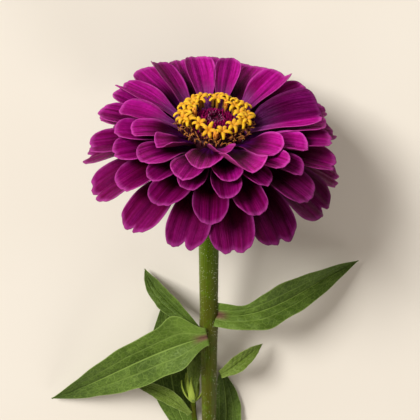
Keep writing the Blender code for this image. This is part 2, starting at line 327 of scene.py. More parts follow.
def makeMottleGroup():
    # soft patches in the object's own space
    defaults = {"Size": 100.0, "Detail": 4.0, "Low": 0.3, "High": 0.7}
    group, given, result = newGroup("mottle", defaults, ("Value",))
    place = addNode(group, "TexCoord").outputs["Object"]
    noise = addNode(group, "TexNoise", {"Vector": place, "Scale": given["Size"],
                                        "Detail": given["Detail"], "Roughness": 0.6})
    group.links.new(ease(group, noise.outputs["Fac"], given["Low"], given["High"]), result["Value"])
    return group


bladeGroup = makeBladeGroup()
streakGroup = makeStreakGroup()
mottleGroup = makeMottleGroup()


def bladeMarks(tree):
    return addNode(tree, "Group", node_tree=bladeGroup).outputs


def streaks(tree, marks, count, length, low=0.35, high=0.65):
    values = {"Along": marks["Along"], "Across": marks["Across"], "Seed": marks["Tone And Shading"],
              "Count": count, "Length": length, "Low": low, "High": high}
    return addNode(tree, "Group", values, node_tree=streakGroup).outputs["Value"]


def mottle(tree, size, detail=4.0, low=0.3, high=0.7):
    values = {"Size": size, "Detail": detail, "Low": low, "High": high}
    return addNode(tree, "Group", values, node_tree=mottleGroup).outputs["Value"]


def newMaterial(name, roughness, **constants):
    material = bpy.data.materials.new(name)
    material.use_nodes = True
    tree = material.node_tree
    shader = tree.nodes["Principled BSDF"]
    shader.inputs["Roughness"].default_value = roughness
    for key, value in constants.items():
        shader.inputs[key.replace("_", " ")].default_value = value
    return material, tree, shader


def plug(tree, shader, colour, roughness=None, height=None, distance=0.0001, strength=0.6):
    tree.links.new(colour, shader.inputs["Base Color"])
    if roughness:
        tree.links.new(roughness, shader.inputs["Roughness"])
    if height:
        relief = addNode(tree, "Bump", {"Height": height, "Distance": distance, "Strength": strength})
        tree.links.new(relief.outputs["Normal"], shader.inputs["Normal"])


# petals

petalLook = dict(
    deep=rgb(40, 0, 14),             # near the claw, and painted shade under the petals above
    violet=rgb(84, 10, 120),         # streaks near the claw
    main=rgb(120, 0, 74),
    light=rgb(196, 26, 162),         # streaks
    rim=rgb(206, 84, 182),
    pale=rgb(214, 112, 214),         # streaks by the disc
    low=rgb(86, 0, 26),              # painted shade: the red that the lower rows take in shade
    under=rgb(146, 52, 110),
    underVein=rgb(104, 16, 66),
)


def petalMaterial(name, look):
    # a row's brightness and reddening are painted light and shade, claw is where its dark base ends,
    # partly painted shade from the petals above, and glow lights its base
    material, tree, shader = newMaterial(name, 0.45, Specular_IOR_Level=0.16,
                                         Specular_Tint=(1.0, 0.12, 0.9, 1.0))
    marks = bladeMarks(tree)
    along, away = marks["Along"], marks["Off Middle"]
    broad = streaks(tree, marks, 6.0, 1.1, 0.25, 0.75)
    fine = streaks(tree, marks, 24.0, 1.6, 0.3, 0.7)
    patches = mottle(tree, 900.0)
    # the dark base is partly the petal's own colour and partly painted shade from the petals above
    pastDarkBaseAndShade = ease(tree, along, *look["claw"])
    nearClaw = times(tree, broad, ease(tree, along, 0.5, 0.1))
    between = times(tree, calc(tree, "SUBTRACT", 1.0, broad), ease(tree, along, 0.62, 0.2))
    groove = times(tree, ease(tree, away, 0.22, 0.02), ease(tree, along, 0.98, 0.7))
    margin = larger(tree, ease(tree, away, 0.86, 1.0), ease(tree, along, 0.93, 1.0))
    edge = times(tree, margin, ease(tree, along, 0.3, 0.6))
    colour = layered(tree, mixed(tree, pastDarkBaseAndShade, petalLook["deep"], petalLook["main"]),
                     (nearClaw, 0.65, petalLook["violet"]),
                     (times(tree, broad, pastDarkBaseAndShade), 0.8, petalLook["light"]),
                     (between, look["glow"], petalLook["pale"]))
    # painted shade: the lower rows are reddened as petals in shade look
    colour = layered(tree, mixed(tree, look["shadeReddening"], colour, petalLook["low"]),
                     (fine, 0.22, petalLook["deep"]),
                     (groove, 0.4, petalLook["deep"]),
                     (edge, 0.45, petalLook["rim"]))
    below = layered(tree, petalLook["under"], (fine, 0.5, petalLook["underVein"]))
    colour = mixed(tree, marks["Underside"], colour, below)
    colour = layered(tree, colour, (patches, 0.22, petalLook["deep"]))
    # painted light and shade: the row's brightness and each petal's tone scale the colour
    toneAndShading = calc(tree, "MULTIPLY_ADD", marks["Tone And Shading"], 0.22, look["rowShading"])
    colour = addNode(tree, "HueSaturation", {"Value": toneAndShading, "Color": colour}).outputs[0]
    rough = calc(tree, "MULTIPLY_ADD", patches, 0.14, 0.38)
    height = calc(tree, "MULTIPLY_ADD", patches, 0.3, calc(tree, "ADD", broad, fine))
    plug(tree, shader, colour, rough, height, 0.0003)
    return material


petalForm = dict(
    baseRadius=11.15 * mm,
    claw=0.30,                       # width at the base
    widest=0.74,                     # where it is widest
    tipRound=0.22,                   # the edges are this much shorter than the middle
    thick=0.46 * mm,
    cells=(46, 28),
    riseSpread=1.5,
    lengthSpread=0.03,
    sideReach=0.04,
    rightReach=0.028,
    sideLift=8.0,
    frontShort=0.07,
    shadeAt=-30.0,                    # painted shade: the azimuth where the lower rows are darkest
    shadeAmount=0.8,
)

# Each row as in the CAD: base height, rise at base and tip, length, width and cup, in mm and
# degrees, then each petal's azimuth, share of the length and extra rise at its tip. What
# follows shows only here: extra cup at the tip, curl of the tip in degrees, crease, notch and
# ragged edge, and the row's colours, with painted shade that makes the lower rows darker and redder.
petalRows = (
    dict(name="inner", joined=False, baseZ=-2.5, rise=(26.0, 14.0), length=26.6, width=13.0, cup=1.2,
         azimuths=(-157, -133, -98, -70, -38, 4, 44, 81, 104, 132, 160, -178),
         reach=(0.81, 0.66, 0.96, 1.06, 0.78, 1.08, 0.98, 0.92, 0.98, 0.98, 1.0, 0.90),
         lift=(-6, -2, 4, -2, 4, -6, 0, 2, 3, 3, -3, -6),
         tipCup=0.9, curl=2.0, crease=0.35, notch=0.015, ragged=0.004, rowShading=0.98, claw=(0.08, 0.7),
         shadeReddening=0.0, glow=0.4),
    dict(name="second", joined=False, baseZ=-5.0, rise=(26.0, 8.0), length=29.0, width=12.6, cup=1.2,
         azimuths=(-163, -132, -105, -81, -48, -21, 3, 32, 66, 91, 114, 141, 165),
         reach=(0.90, 0.94, 0.96, 0.90, 0.88, 0.84, 1.0, 1.0, 1.0, 0.96, 1.0, 1.02, 1.0),
         lift=(-4, 0, 0, 0, 4, 0, 0, 0, -4, 0, 0, 0, 0),
         tipCup=0.9, curl=2.0, crease=0.35, notch=0.015, ragged=0.004, rowShading=1.02, claw=(0.42, 0.92),
         shadeReddening=0.0, glow=0.0),
    dict(name="third", joined=True, baseZ=-7.5, rise=(26.0, 0.0), length=30.8, width=13.0, cup=1.1,
         azimuths=(-150, -122, -102, -82, -59, -38, -8, 17, 46, 75, 101, 127, 151, 177),
         reach=(0.92, 0.96, 0.92, 1.0, 0.82, 0.88, 1.02, 1.0, 1.0, 1.0, 1.0, 1.0, 1.0, 1.03),
         lift=(-4, 0, 4, 0, 0, 4, 0, 0, 0, 0, 0, 0, 0, 0),
         tipCup=0.8, curl=4.0, crease=0.4, notch=0.02, ragged=0.005, rowShading=0.90, claw=(0.55, 1.0),
         shadeReddening=0.12, glow=0.0),
    dict(name="fourth", joined=True, baseZ=-10.0, rise=(24.0, -23.0), length=33.0, width=14.6, cup=1.0,
         azimuths=(-169, -137, -113, -89, -67, -41, -13, 11, 37, 63, 89, 115, 141, 167),
         reach=(1.02, 0.98, 0.92, 1.03, 0.97, 1.0, 0.98, 1.0, 1.0, 1.0, 1.0, 1.0, 1.0, 1.0),
         lift=(0, 0, 4, 0, 6, 0, 0, 0, 0, 0, 0, 0, 0, 0),
         tipCup=0.6, curl=8.0, crease=0.8, notch=0.03, ragged=0.006, rowShading=0.82, claw=(0.55, 1.0),
         shadeReddening=0.35, glow=0.0),
    dict(name="outer", joined=False, baseZ=-12.6, rise=(14.0, -52.0), length=38.0, width=16.2, cup=0.5,
         azimuths=(-156, -125, -100, -77, -53, -25, -1, 22, 46, 72, 98, 124, 150, 177),
         reach=(0.98, 1.0, 1.0, 1.0, 1.02, 0.97, 1.0, 1.0, 1.0, 1.0, 1.0, 1.0, 1.0, 1.0),
         lift=(0, 0, 0, 3, 0, 0, 0, 0, 0, 0, 0, 0, 0, 0),
         tipCup=0.3, curl=4.0, crease=1.1, notch=0.07, ragged=0.010, rowShading=0.70, claw=(0.45, 1.0),
         shadeReddening=0.55, glow=0.0),
)

# Single petals that differ from their row. A tone lightens or darkens a petal, mostly as painted
# light and shade, and a shade is a painted shadow that darkens one half of it.
petalOddities = {
    ("inner", 0): dict(broad=1.15),
    ("inner", 1): dict(curl=4.0, tipCup=2.4),
    ("inner", 2): dict(curl=2.0, tipCup=2.0),
    ("inner", 3): dict(curl=10.0, tipCup=4.6, broad=1.2, roll=-10.0, toneAndShading=1.0),
    ("inner", 4): dict(curl=-4.0, tipCup=1.2, roll=12.0),
    ("inner", 5): dict(broad=1.12, roll=6.0, edgeRoll=5.0, notch=0.05, toneAndShading=1.4, paintedShadow=4.4),
    ("inner", 6): dict(roll=-6.0, notch=0.0, point=0.08, pointAt=-0.6, fold=2.0),
    ("inner", 7): dict(toneAndShading=0.6, broad=0.95, paintedShadow=1.4),
    ("inner", 8): dict(broad=1.08, tipCup=1.6, toneAndShading=0.6, paintedShadow=0.8),
    ("inner", 9): dict(roll=22.0, broad=0.9, point=0.05, pointAt=0.8, curl=0.0, toneAndShading=-0.8),
    ("inner", 10): dict(roll=6.0, point=0.08, pointAt=0.45, broad=1.06),
    ("inner", 11): dict(broad=1.15),
    ("second", 5): dict(toneAndShading=0.7),
    ("second", 6): dict(toneAndShading=0.9, broad=1.1),
    ("second", 8): dict(roll=-10.0),
    ("second", 10): dict(toneAndShading=-0.6),
    ("fourth", 2): dict(sweep=-0.8, broad=1.1),
    ("fourth", 5): dict(broad=1.12, toneAndShading=-0.5),
    ("outer", 1): dict(sweep=-1.4, broad=0.98, notch=0.09),
    ("outer", 2): dict(notch=0.08, broad=1.18, roll=7.0, sweep=-1.0),
    ("outer", 3): dict(notch=0.06, broad=1.2, roll=7.0),
    ("outer", 4): dict(notch=0.07, broad=1.2, roll=7.0, toneAndShading=-0.8),
    ("outer", 5): dict(broad=1.36, roll=6.0, toneAndShading=-0.6),
}
smallPetal = dict(name="small", baseZ=-2.2, rise=(34.0, 30.0), length=19.0, width=9.5, cup=1.2,
                  azimuths=(-84,), reach=(1.0,), lift=(0,), tipCup=1.6, curl=6.0, crease=0.3,
                  notch=0.02, ragged=0.006)
frontShading = dict(rowShading=1.16, claw=(0.4, 0.95), shadeReddening=0.0, glow=0.0)       # inner petals at the front: a lighter copy, with painted shade under the disc near the base


def petalCourse(row, index):
    # the CAD petal's own length, slopes and width, from the same draws
    draw = random.Random(f"{row['name']} {index}")
    azimuth = math.radians(row["azimuths"][index])
    sideways = math.cos(azimuth)
    stretch = 1.0 + petalForm["lengthSpread"] * draw.uniform(-1.0, 1.0)
    shift = petalForm["riseSpread"] * draw.uniform(-1.0, 1.0)
    if row["name"] != "inner":
        stretch += petalForm["sideReach"] * sideways**2 + petalForm["rightReach"] * sideways
    if row["name"] == "outer":
        stretch -= petalForm["frontShort"] * max(0.0, -math.sin(azimuth))
    if row["rise"][1] < 0.0:
        shift += petalForm["sideLift"] * sideways**2
    stretch *= row["reach"][index]
    shift += row["lift"][index]
    slopes = math.radians(row["rise"][0]), math.radians(row["rise"][1] + shift)
    return draw, azimuth, row["length"] * mm * stretch, slopes


def petalWidth(row, index, length, slopes):
    if len(row["azimuths"]) == 1:
        return row["width"] * mm
    here = row["azimuths"][index]
    others = row["azimuths"][:index] + row["azimuths"][index + 1:]
    steps = [abs((here - other + 180) % 360 - 180) for other in others]
    turn = slopes[1] - slopes[0]
    reach = (math.sin(slopes[0] + turn * petalForm["widest"]) - math.sin(slopes[0])) * length / turn
    room = 2.0 * (petalForm["baseRadius"] + reach) * math.sin(math.radians(min(steps)) / 2.0)
    return min(row["width"] * mm, 0.95 * room - 0.3 * mm)


def petalSurface(row, index):
    draw, azimuth, length, slopes = petalCourse(row, index)
    own = dict(curl=row["curl"], tipCup=row["tipCup"], roll=0.0, broad=1.0, edgeRoll=0.0,
               notch=row["notch"], point=0.0, pointAt=0.0, fold=0.0)
    own["curl"] += draw.uniform(-5.0, 5.0)
    own["tipCup"] *= draw.uniform(0.6, 1.5)
    own["roll"] += draw.uniform(-5.0, 5.0)
    own["notch"] *= draw.uniform(0.3, 1.5)
    own["point"] += draw.uniform(-0.01, 0.03)
    own.update(petalOddities.get((row["name"], index), {}))
    width = petalWidth(row, index, length, slopes) * own["broad"]
    skew = draw.uniform(-0.12, 0.12)
    sweep = draw.uniform(-0.5, 0.5)      # sideways, in mm
    sweep = own.get("sweep", sweep) * mm
    wave = draw.uniform(0.1, 0.4) * mm
    phases = [draw.uniform(0.0, 6.28) for _ in range(8)]
    notchAt = draw.uniform(-0.12, 0.12)
    toWorld = headMatrix @ Matrix.Rotation(azimuth, 4, "Z")

    share = np.linspace(0.0, 1.1, 221)
    slope = slopes[0] + (slopes[1] - slopes[0]) * share
    slope = slope + math.radians(own["curl"]) * smooth((share - 0.62) / 0.4)
    outward, height = walked(slope, length * (share[1] - share[0]))
    outward, height = outward + petalForm["baseRadius"], height + row["baseZ"] * mm

    def surface(u, v):
        away = np.abs(v)
        teeth = sum(np.sin(v * (5.0 + 5.0 * k) + phases[k]) / (1.0 + 0.8 * k) for k in range(4))
        reach = 1.0 - petalForm["tipRound"] * (1.0 - np.sqrt(1.0 - 0.999 * away**2.8))
        reach = reach + own["point"] * bump(v, own["pointAt"], 0.22)
        reach = reach - own["notch"] * np.exp(-np.abs(v - notchAt) ** 1.2 / 0.07) + row["ragged"] * teeth
        t = u * reach
        form = np.where(t < petalForm["widest"],
                        petalForm["claw"] + (1 - petalForm["claw"]) * smooth(t / petalForm["widest"]),
                        1.0 - 0.10 * ((t - petalForm["widest"]) / (1 - petalForm["widest"])) ** 2)
        side = v * 0.5 * width * form * (1.0 + skew * v)
        lift = (row["cup"] * smooth(t / 0.55) + own["tipCup"] * smooth((t - 0.5) / 0.5)) * mm * away**2
        lift = lift + 0.9 * mm * away**3 * bump(t, 0.55, 0.25)
        lift = lift + own["fold"] * mm * np.sqrt(v * v + 0.01) * smooth(t / 0.4)
        lift = lift - row["crease"] * mm * bump(v, 0.0, 0.16) * smooth(t / 0.35)
        lift = lift - 0.6 * row["crease"] * mm * bump(away, 0.52, 0.12) * smooth(t / 0.5)
        lift = lift + 0.05 * mm * np.cos(v * 30.0 + phases[4]) * smooth(t / 0.3)
        lift = lift + wave * away**3 * np.sin(t * 9.0 + phases[5] + np.sign(v) * 1.3) * smooth(t / 0.4)
        lift = lift + own["edgeRoll"] * mm * smooth((v - 0.1) / 0.9) ** 1.5 * smooth(t / 0.3)
        angle = math.radians(own["roll"]) * smooth(t / 0.5)
        side, lift = (side * np.cos(angle) - lift * np.sin(angle),
                      side * np.sin(angle) + lift * np.cos(angle))
        side = side + sweep * t * t * 2.0
        tilt = np.interp(t, share, slope)
        spot = np.stack([np.interp(t, share, outward) - lift * np.sin(tilt), side,
                         np.interp(t, share, height) + lift * np.cos(tilt)], axis=-1)
        spot = moved(spot, toWorld)
        spot[..., 2] = aboveFloor(spot[..., 2], petalForm["thick"] / 2)
        return spot

    return surface


def addPetals():
    front = petalMaterial("petal_front", frontShading)
    for row in petalRows:
        material = petalMaterial("petal_" + row["name"], row)
        slot = "petal_outer" if row["name"] in ("fourth", "outer") else "petal"
        for index, degrees in enumerate(row["azimuths"]):
            name = f"petal_{row['name']}_{index + 1:02d}"
            node = f"petal_whorl_{row['name']}" if row["joined"] else name
            part = blade(petalSurface(row, index), petalForm["cells"], petalForm["thick"])
            own = petalOddities.get((row["name"], index), {})
            # the listed tones are mostly painted light and shade, the others random
            toneAndShading = own.get("toneAndShading", random.Random(name).random())
            # painted shade: the lower rows darken towards the right front
            if row["name"] in ("third", "fourth", "outer"):
                towardShade = math.cos(math.radians(degrees - petalForm["shadeAt"]))
                toneAndShading -= petalForm["shadeAmount"] * max(0.0, towardShade)
            across = part[2][:, 1]
            # painted shadow over one half of the petal
            toneAndShading = toneAndShading - own.get("paintedShadow", 0.0) * smooth(0.5 + across * 2.5)
            # the front inner petals take the lighter copy with painted shade near the base
            atFront = row["name"] == "inner" and math.sin(math.radians(degrees)) < -0.3
            addPiece(name + "_blade", part, front if atFront else material, toneAndShading, slot, node)
        print("petals,", row["name"], "row:", len(row["azimuths"]))
    small = blade(petalSurface(smallPetal, 0), petalForm["cells"], petalForm["thick"])
    addPiece("petal_small_blade", small, bpy.data.materials["petal_inner"], 0.6, "petal",
             "petal_inner_03")
    print("small petal")


# disc: fringed scales, open florets and withered florets

discForm = dict(
    domeRadius=8.2,                  # mm, as all lengths here
    domeTop=3.4,
    hollowDepth=4.2,
    hollowRadius=1.9,
    scales=260,
    spiral=137.508,                  # degrees from each scale to the next
    scaleLength=(1.5, 2.5),
    scaleWidth=0.42,
    openOuter=(-12, 9, 30, 50, 71, 96, 118, 140, 161, 183, 205),
    openInner=(-178, -152, -128, -104, -72, -48, -24, 2, 40, 82, 128, 158),
    halfOpen=((62, 7.7), (176, 7.2), (-88, 11.4)),       # azimuth and radius
    threads=22,                      # pale threads round the hollow
    threadLength=(1.4, 2.2),
    threadWidth=0.22,
    tubeHeight=4.1,
    youngHeight=3.0,
    lobeLength=3.8,
    youngLength=2.5,
    lobeWidth=1.25,
)


def frameAt(place, up, spin=0.0):
    # a matrix that stands Z along up at place
    turn = Vector(up).normalized().to_track_quat("Z", "Y").to_matrix().to_4x4()
    return Matrix.Translation(place) @ turn @ Matrix.Rotation(spin, 4, "Z")


def sliver(length, width, slopes, thick, cells=(7, 2), start=0.1, channel=0.0, blunt=0.25):
    # a small tapering blade in mm that leaves the axis along +X and bends by its slopes
    share = np.linspace(0.0, 1.0, 40)
    angle = np.radians(slopes[0] + (slopes[1] - slopes[0]) * share)
    out, high = walked(angle, length / (len(share) - 1))

    def surface(t, v):
        taper = 1.0 - smooth((t - 0.35) / 0.65) * (1.0 - blunt)
        half = 0.5 * width * taper * (0.75 + 0.25 * smooth(t / 0.3))
        tilt = np.interp(t, share, angle)
        lift = channel * v * v
        return np.stack([start + np.interp(t, share, out) - lift * np.sin(tilt), v * half,
                         np.interp(t, share, high) + lift * np.cos(tilt)], axis=-1)

    return blade(surface, cells, thick, 0.3)


def stalkPart(height, radii, sides):
    # an upright tube in mm with a radius for each level, leaning by a hair to steady its sides
    levels = np.linspace(0.0, 1.0, len(radii))
    return tubePart(np.stack([0 * levels, 0.0001 * levels, height * levels], axis=1), radii, sides)


def placed(part, matrix, scale=mm):
    points, faces, marks = part
    return moved(points * scale, matrix), faces, marks


def withMark(part, value):
    # 1 gives the look of a sheet's upper side and -1 that of its underside
    points, faces, marks = part
    marks = marks.copy()
    marks[:, 2] = value
    return points, faces, marks


def floretPart(draw, height, length, slopes):
    # a tube that opens into five lobes, whose slopes are drawn from the two ranges
    tube = stalkPart(height, 0.55 + 0.32 * np.linspace(0.0, 1.0, 7) ** 2, 10)
    parts = [withMark(tube, -1.0)]
    for k in range(5):
        lobe = sliver(length * draw.uniform(0.85, 1.12), discForm["lobeWidth"],
                      [draw.uniform(*ends) for ends in slopes], 0.50, (14, 8), 0.34, -0.30, 0.5)
        spin = Matrix.Rotation(math.radians(72.0 * k + draw.uniform(-9, 9)), 4, "Z")
        turn = Matrix.Translation((0, 0, height - 0.1)) @ spin
        parts.append(placed(withMark(lobe, 1.0), turn, 1.0))
    return joinParts(parts)


def onHead(azimuth, radius, z, lean, spin=0.0):
    # a place above the petals, its Z leaning outwards by lean degrees
    a, tilt = math.radians(azimuth), math.radians(lean)
    up = (math.cos(a) * math.sin(tilt), math.sin(a) * math.sin(tilt), math.cos(tilt))
    return headMatrix @ frameAt((radius * math.cos(a) * mm, radius * math.sin(a) * mm, z * mm), up, spin)


def floretMaterial(name, base, tip, light):
    material, tree, shader = newMaterial(name, 0.55, Sheen_Weight=0.05, Specular_IOR_Level=0.3,
                                         Subsurface_Weight=0.12, Subsurface_Scale=0.001)
    marks = bladeMarks(tree)
    grain = mottle(tree, 3800.0, 2.0)
    colour = mixed(tree, ease(tree, marks["Along"], 0.1, 0.9), base, tip)
    tube = mixed(tree, ease(tree, marks["Along"], 0.2, 1.0), rgb(120, 60, 14), rgb(196, 128, 8))
    colour = mixed(tree, marks["Underside"], colour, tube)
    colour = layered(tree, colour, (grain, 0.25, light))
    plug(tree, shader, colour, calc(tree, "MULTIPLY_ADD", grain, 0.2, 0.45), grain, strength=0.5)
    return material


def addFlorets():
    material = floretMaterial("florets", rgb(198, 130, 2), rgb(226, 180, 10), rgb(238, 204, 40))
    young = floretMaterial("young_florets", rgb(196, 96, 16), rgb(230, 150, 34), rgb(238, 176, 70))
    draw = random.Random("florets")
    spots = [(azimuth, 10.1, 1.2, 24) for azimuth in discForm["openOuter"]]
    for azimuth in discForm["openInner"]:
        # those at the front stand a little higher and lean further out
        spots.append((azimuth, 8.8, 1.5, 22) if azimuth < 0 else (azimuth, 8.8, 1.1, 8))
    for number, (azimuth, radius, z, lean) in enumerate(spots, 1):
        matrix = onHead(azimuth + draw.uniform(-4, 4), radius + draw.uniform(-0.5, 0.5),
                        z + draw.uniform(-0.5, 0.4), lean + draw.uniform(-8, 8), draw.uniform(0, 6.28))
        part = floretPart(draw, discForm["tubeHeight"], discForm["lobeLength"], ((62, 84), (-130, -55)))
        addPiece(f"floret_{number:02d}", placed(part, matrix), material, draw.random(), "floret",
                 "floret_ring")
    for number, (azimuth, radius) in enumerate(discForm["halfOpen"], 1):
        matrix = onHead(azimuth, radius, 1.0, draw.uniform(0, 14), draw.uniform(0, 6.28))
        part = floretPart(draw, discForm["youngHeight"], discForm["youngLength"], ((60, 76), (120, 190)))
        addPiece(f"young_floret_{number}", placed(part, matrix), young, draw.random(), "floret",
                 "floret_ring")
    print("open florets:", len(spots), "half open:", len(discForm["halfOpen"]))


withered = dict(
    rings=((11.0, 0.6), (12.7, -0.4)),   # radius and height, mm
    azimuths=range(-184, 5, 8),
    tall=(1.8, 3.2),
    threadLength=(1.0, 1.9),
    threadWidth=0.28,
)


def witheredMaterial():
    material, tree, shader = newMaterial("withered_florets", 0.7)
    marks = bladeMarks(tree)
    colour = mixed(tree, ease(tree, marks["Along"], 0.2, 0.75), rgb(70, 2, 20), rgb(192, 126, 36))
    colour = layered(tree, colour, (mottle(tree, 2500.0), 0.45, rgb(110, 14, 24)))
    plug(tree, shader, colour, None, mottle(tree, 3000.0))
    return material


def addWithered():
    # older florets outside the open ones: dark tubes that end in thin curled threads
    draw = random.Random("withered")
    parts = []
    for azimuth in withered["azimuths"]:
        for radius, z in withered["rings"]:
            matrix = onHead(azimuth + draw.uniform(-4, 4), radius + draw.uniform(-0.5, 0.5), z,
                            draw.uniform(12, 40), draw.uniform(0, 6.28))
            tall = draw.uniform(*withered["tall"])
            stalk = stalkPart(tall, 0.42 - 0.1 * np.linspace(0.0, 1.0, 5), 7)
            stalk[2][:, 0] *= 0.4
            parts.append(placed(stalk, matrix))
            top = matrix @ Matrix.Translation((0, 0, (tall - 0.1) * mm))
            for _ in range(draw.choice((2, 3, 4))):
                thread = sliver(draw.uniform(*withered["threadLength"]), withered["threadWidth"],
                                (draw.uniform(40, 80), draw.uniform(-120, 10)), 0.18, start=0.15)
                thread[2][:, 0] = 0.4 + 0.6 * thread[2][:, 0]
                parts.append(placed(thread, top @ Matrix.Rotation(draw.uniform(0, 6.28), 4, "Z")))
    addPiece("withered_florets", joinParts(parts), witheredMaterial(), 0.5, "disc", "floret_ring")
    print("withered florets")


def discMaterial():
    material, tree, shader = newMaterial("disc_scales", 0.5, Specular_IOR_Level=0.3,
                                         Specular_Tint=(1.0, 0.3, 0.6, 1.0))
    marks = bladeMarks(tree)
    colour = mixed(tree, ease(tree, marks["Along"], 0.35, 1.0), rgb(30, 0, 10), rgb(192, 20, 116))
    colour = mixed(tree, mottle(tree, 1400.0, 2.0, 0.4, 0.7), colour, rgb(98, 0, 48))
    plug(tree, shader, colour, None, mottle(tree, 4000.0), strength=0.4)
    return material


def threadMaterial():
    material, tree, shader = newMaterial("disc_threads", 0.6, Specular_IOR_Level=0.2)
    share = ease(tree, bladeMarks(tree)["Along"], 0.1, 0.7)
    plug(tree, shader, mixed(tree, share, rgb(110, 10, 62), rgb(190, 116, 158)))
    return material


def domeHeight(radius):
    # the disc's dome with the hollow in its middle
    share = radius / discForm["domeRadius"]
    hollow = discForm["hollowDepth"] * math.exp(-((radius / discForm["hollowRadius"]) ** 2))
    return discForm["domeTop"] * (1.0 - share**3) - hollow


def addDisc():
    dome = discForm["domeRadius"]
    radii = np.concatenate([np.linspace(0.0, dome, 20), [dome, 0.0]])
    heights = [domeHeight(r) - 1.0 for r in radii[:-2]] + [-0.3, -0.3]
    core = turnedPart((radii * mm, np.array(heights) * mm), 48, 1.0)
    # painted shade: the dome under the scales is dark, as shade between them
    core[2][:, 0] = 0.1
    parts = [placed(core, headMatrix, 1.0)]
    draw = random.Random("scales")
    for k in range(discForm["scales"]):
        radius = 2.1 + (dome - 2.3) * math.sqrt((k + 0.5) / discForm["scales"])
        azimuth = discForm["spiral"] * k + draw.uniform(-4, 4)
        inward = 52.0 - 62.0 * radius / dome + draw.uniform(-10, 10)
        matrix = onHead(azimuth, radius, domeHeight(radius) - 1.0, -inward)
        for _ in range(3):
            scale = sliver(draw.uniform(*discForm["scaleLength"]), discForm["scaleWidth"],
                           (draw.uniform(66, 90), draw.uniform(80, 120)), 0.16, blunt=0.10)
            scale[2][:, 0] *= min(1.0, max(0.1, (radius - 2.2) / 1.5))      # painted shade: dark in the hollow
            fan = Matrix.Rotation(math.radians(draw.uniform(0, 360)), 4, "Z")
            parts.append(placed(scale, matrix @ fan))
    addPiece("disc_scales", joinParts(parts), discMaterial(), 0.5, "disc", "disc_cone")
    print("disc scales:", 3 * discForm["scales"])
    threads = []
    for k in range(discForm["threads"]):
        radius = draw.uniform(2.3, 3.4)
        azimuth = 360.0 * k / discForm["threads"] + draw.uniform(-6, 6)
        thread = sliver(draw.uniform(*discForm["threadLength"]), discForm["threadWidth"],
                        (draw.uniform(50, 80), draw.uniform(100, 150)), 0.14, blunt=0.3)
        threads.append(placed(thread, onHead(azimuth, radius, domeHeight(radius) - 0.4, 0.0)))
    addPiece("disc_threads", joinParts(threads), threadMaterial(), 0.5, "disc", "disc_cone")
    print("disc threads:", len(threads))


# greens: leaves, stem, receptacle and side shoot

leafLook = dict(
    main=rgb(56, 79, 8),
    dark=rgb(26, 42, 2),
    light=rgb(108, 136, 50),
    vein=rgb(132, 156, 74),
    under=rgb(104, 126, 60),
)
leafStain = rgb(104, 58, 62)         # on the two large leaves, near the stem
youngLook = dict(
    main=rgb(88, 110, 26),
    dark=rgb(50, 70, 8),
    light=rgb(128, 150, 66),
    vein=rgb(176, 192, 118),
    under=rgb(122, 144, 72),
)


def leafMaterial(name, look):
    # a look with a stain has that colour near the leaf's base
    material, tree, shader = newMaterial(name, 0.5, Specular_IOR_Level=0.32, Sheen_Weight=0.06,
                                         Sheen_Tint=(0.85, 1.0, 0.6, 1.0),
                                         Specular_Tint=(0.85, 1.0, 0.6, 1.0))
    marks = bladeMarks(tree)
    along, away = marks["Along"], marks["Off Middle"]
    broad = mottle(tree, 80.0, 5.0, 0.38, 0.66)
    small = mottle(tree, 1300.0, 5.0, 0.38, 0.66)
    colour = layered(tree, look["main"],
                     (broad, 0.38, look["light"]),
                     (small, 0.45, look["dark"]),
                     (ease(tree, along, 0.3, 1.0), 0.4, look["dark"]),
                     (ease(tree, along, 0.35, 0.0), 0.35, look["light"]))
    midrib = ease(tree, away, 0.06, 0.015)
    offNerve = calc(tree, "ABSOLUTE", calc(tree, "SUBTRACT", away, 0.46))
    nerve = times(tree, ease(tree, offNerve, 0.05, 0.01), ease(tree, along, 0.9, 0.5))
    spot = addNode(tree, "CombineXYZ", {0: times(tree, along, 26.0), 1: times(tree, marks["Across"], 6.0),
                                        2: marks["Tone And Shading"]})
    net = addNode(tree, "TexVoronoi", {"Vector": spot.outputs[0], "Scale": 1.0},
                  feature="DISTANCE_TO_EDGE")
    cell = ease(tree, net.outputs["Distance"], 0.10, 0.0)
    lines = larger(tree, midrib, times(tree, nerve, 0.45))
    lines = larger(tree, lines, times(tree, cell, 0.3))
    margin = ease(tree, away, 0.95, 1.0)
    colour = layered(tree, colour, (lines, 0.65, look["vein"]), (margin, 0.6, look["vein"]))
    below = layered(tree, look["under"], (small, 0.4, look["main"]), (lines, 0.6, look["vein"]))
    colour = mixed(tree, marks["Underside"], colour, below)
    if "stain" in look:
        stain = times(tree, ease(tree, along, 0.10, 0.02), ease(tree, away, 0.5, 0.1))
        colour = layered(tree, colour, (stain, 0.85, look["stain"]))
    height = calc(tree, "SUBTRACT", times(tree, small, 0.35), times(tree, lines, 0.8))
    plug(tree, shader, colour, calc(tree, "MULTIPLY_ADD", small, 0.15, 0.48), height, 0.0003)
    return material


